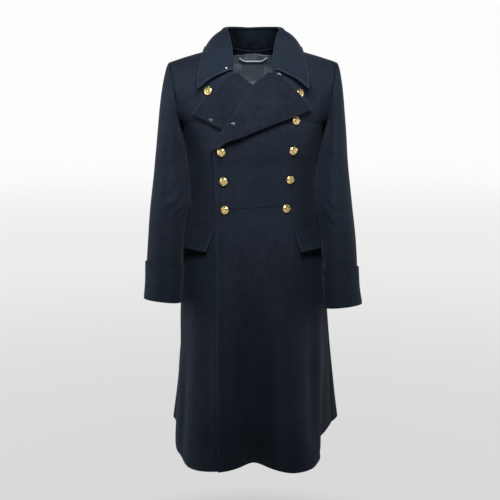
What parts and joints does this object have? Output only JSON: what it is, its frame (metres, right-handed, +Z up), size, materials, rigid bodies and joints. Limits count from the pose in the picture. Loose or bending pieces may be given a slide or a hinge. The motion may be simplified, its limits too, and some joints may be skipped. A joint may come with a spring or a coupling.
{
  "type": "greatcoat",
  "caption": "Long double-breasted greatcoat in heavy dark cloth, hollow as when worn, with a deep fall collar, wide crossed lapels, pocket flaps and turned-back cuffs.",
  "frame": {"origin": "inside the neck, 1.135 m above the hem's lowest point, where the wearer's shoulders hold the coat", "axes": "+Z up along the coat; -Y out of its front; +X to the wearer's left"},
  "size_m": [0.5997, 0.4606, 1.1999],
  "materials": {
    "coat_cloth": "matte heavy wool",
    "lining": "smooth lining",
    "label": "bare woven label",
    "loop": "light cloth tube",
    "gilt": "gilt, polished",
    "steel": "bare wire"
  },
  "bodies": {
    "root": {"back_left": "coat_cloth", "back_right": "coat_cloth", "button_left_2": "gilt", "button_left_3": "gilt", "button_left_4": "gilt", "button_left_5": "gilt", "button_over_1": "gilt", "button_right_3": "gilt", "button_right_4": "gilt", "button_right_5": "gilt", "button_under_1": "gilt", "collar_fall": "coat_cloth", "collar_stand": "coat_cloth", "cuff_left": "coat_cloth", "cuff_right": "coat_cloth", "eye_collar_left": "steel", "eye_lapel_left": "steel", "flap_left": "coat_cloth", "flap_right": "coat_cloth", "front_over": "coat_cloth", "front_under": "coat_cloth", "hanger_loop": "loop", "hook_collar_right": "steel", "hook_lapel_right": "steel", "label": "label", "lapel_over": "coat_cloth", "lapel_under": "coat_cloth", "neck_lining": "lining", "sleeve_left": "coat_cloth", "sleeve_right": "coat_cloth"}
  },
  "joints": []
}
